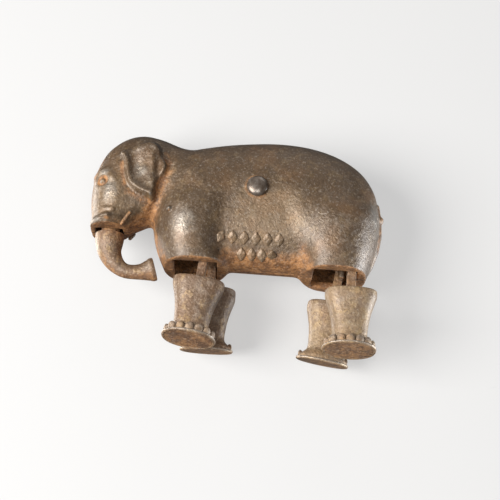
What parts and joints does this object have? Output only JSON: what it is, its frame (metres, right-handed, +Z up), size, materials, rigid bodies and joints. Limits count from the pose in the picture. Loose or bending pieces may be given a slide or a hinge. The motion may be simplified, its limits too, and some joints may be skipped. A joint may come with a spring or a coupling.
{
  "type": "walking elephant toy",
  "caption": "Cast-iron elephant that walks down a ramp: hollow riveted body, loose legs on long shanks and a curled trunk, all hung from hidden pins.",
  "frame": {"origin": "on the floor below the middle of the toy's length, on the parting plane of the two halves", "axes": "+X from head to tail along the length, +Y to the toy's right side across the parting plane, +Z up"},
  "size_m": [0.0818, 0.0284, 0.0628],
  "materials": {
    "dark_casting": "worn dark japan over iron, rust in the recesses",
    "worn_casting": "bare grey-brown iron with light rust",
    "rivet_iron": "rubbed dark iron",
    "pin_wire": "rusty iron wire"
  },
  "bodies": {
    "casing": {"shell_left": "dark_casting", "shell_right": "dark_casting", "body_rivet": "rivet_iron", "front_leg_pin": "pin_wire", "rear_leg_pin": "pin_wire", "trunk_pin": "pin_wire"},
    "front_left_leg": {"leg_front_left": "worn_casting"},
    "front_right_leg": {"leg_front_right": "worn_casting"},
    "rear_left_leg": {"leg_rear_left": "worn_casting"},
    "rear_right_leg": {"leg_rear_right": "worn_casting"},
    "hanging_trunk": {"trunk": "worn_casting"}
  },
  "joints": [
    {"name": "front_left_swing", "type": "hinge", "parent": "casing", "child": "front_left_leg", "pos_m": [-0.00551, 0, 0.04573], "axis": [0, 1, 0], "range_deg": [-6.2, 8.6]},
    {"name": "front_right_swing", "type": "hinge", "parent": "casing", "child": "front_right_leg", "pos_m": [-0.00551, 0, 0.04573], "axis": [0, 1, 0], "range_deg": [0, 14.8]},
    {"name": "rear_left_swing", "type": "hinge", "parent": "casing", "child": "rear_left_leg", "pos_m": [0.03309, 0, 0.04573], "axis": [0, 1, 0], "range_deg": [0, 21.5]},
    {"name": "rear_right_swing", "type": "hinge", "parent": "casing", "child": "rear_right_leg", "pos_m": [0.03309, 0, 0.04573], "axis": [0, 1, 0], "range_deg": [-8.2, 13.3]},
    {"name": "trunk_swing", "type": "hinge", "parent": "casing", "child": "hanging_trunk", "pos_m": [-0.03461, 0, 0.03873], "axis": [0, 1, 0], "range_deg": [-3, 6]}
  ]
}
